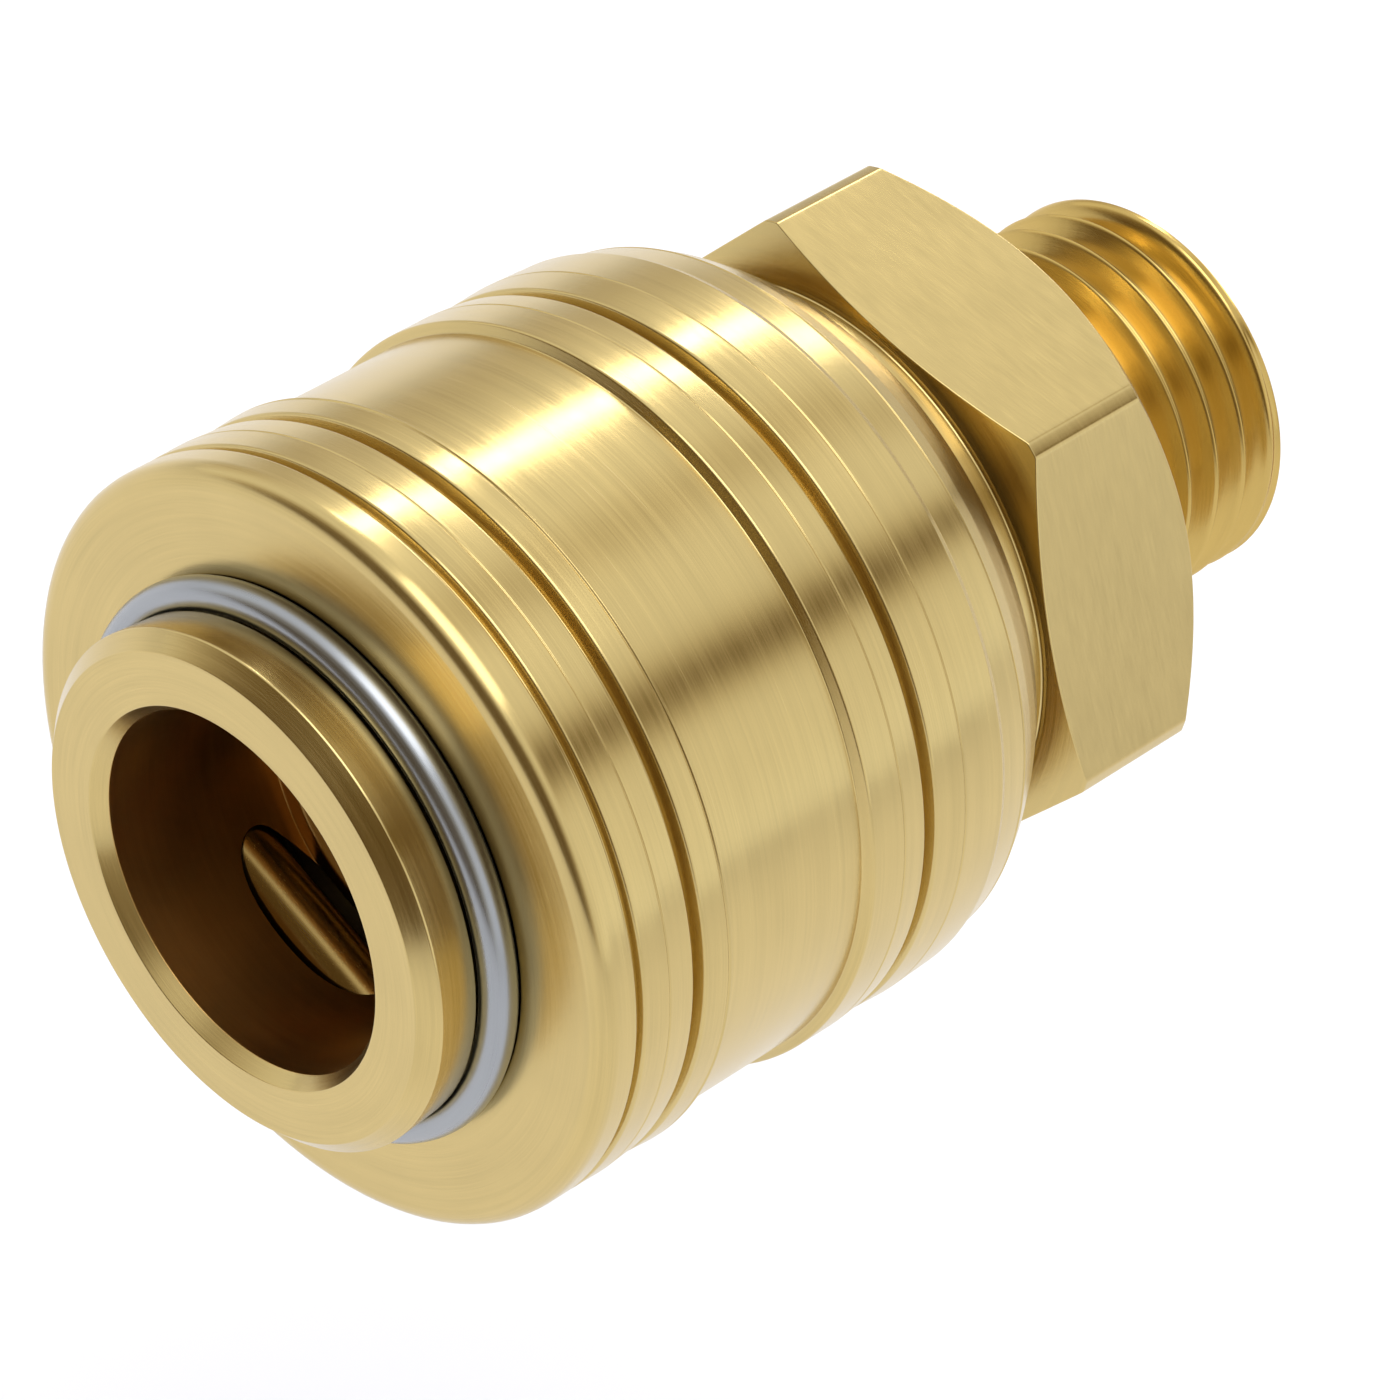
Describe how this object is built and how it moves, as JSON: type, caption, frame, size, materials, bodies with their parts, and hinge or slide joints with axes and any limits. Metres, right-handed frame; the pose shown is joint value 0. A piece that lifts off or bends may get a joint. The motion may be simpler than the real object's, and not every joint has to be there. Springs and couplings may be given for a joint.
{
  "type": "quick disconnect coupler",
  "caption": "Brass quick disconnect coupler for compressed air: spring-loaded pull-back grip sleeve, locking pins and shut-off valve, hexagon and male pipe thread.",
  "frame": {"origin": "centre of the thread's sealing shoulder, the hexagon's rear face, on the coupler's axis", "axes": "+X along the axis out of the male thread, -X out of the plug socket, one wrench flat faces +Z"},
  "size_m": [0.041, 0.0254, 0.0254],
  "materials": {
    "brass_satin": "brushed",
    "brass_plain": "turned",
    "steel_polished": "polished",
    "steel_spring": "drawn wire",
    "rubber_black": "matte"
  },
  "bodies": {
    "root": {"barrel": "brass_satin", "adapter": "brass_satin", "retaining_ring": "steel_polished", "plug_seal": "rubber_black", "joint_seal": "rubber_black", "sleeve_spring": "steel_spring", "valve_spring": "steel_spring"},
    "slider": {"thrust_ring": "steel_polished"},
    "grip": {"sleeve": "brass_satin"},
    "valve": {"valve_poppet": "brass_plain", "valve_seal": "rubber_black"},
    "pin_1": {"locking_pin_1": "brass_plain"},
    "pin_2": {"locking_pin_2": "brass_plain"},
    "pin_3": {"locking_pin_3": "brass_plain"}
  },
  "joints": [
    {"name": "sleeve_pull", "type": "slide", "parent": "root", "child": "slider", "axis": [1, 0, 0], "range_m": [0, 0.0015], "stiffness_N_per_m": 4000, "springref_m": -0.005, "deforming": ["sleeve_spring"]},
    {"name": "sleeve_turn", "type": "hinge", "parent": "slider", "child": "grip", "pos_m": [-0.0184, 0, 0], "axis": [1, 0, 0], "continuous": true},
    {"name": "valve_push", "type": "slide", "parent": "root", "child": "valve", "axis": [1, 0, 0], "range_m": [0, 0.0025], "stiffness_N_per_m": 500, "springref_m": -0.006, "deforming": ["valve_spring"]},
    {"name": "pin_1_slide", "type": "slide", "parent": "root", "child": "pin_1", "axis": [0.7987, -0.5654, 0.2058], "range_m": [0, 0.0019]},
    {"name": "pin_2_slide", "type": "slide", "parent": "root", "child": "pin_2", "axis": [0.7987, 0.1045, -0.5926], "range_m": [0, 0.0019]},
    {"name": "pin_3_slide", "type": "slide", "parent": "root", "child": "pin_3", "axis": [0.7987, 0.4609, 0.3868], "range_m": [0, 0.0019]}
  ],
  "couplings": [
    {"joint": "pin_1_slide", "follows": "sleeve_pull", "ratio": 1.252},
    {"joint": "pin_2_slide", "follows": "sleeve_pull", "ratio": 1.252},
    {"joint": "pin_3_slide", "follows": "sleeve_pull", "ratio": 1.252}
  ]
}
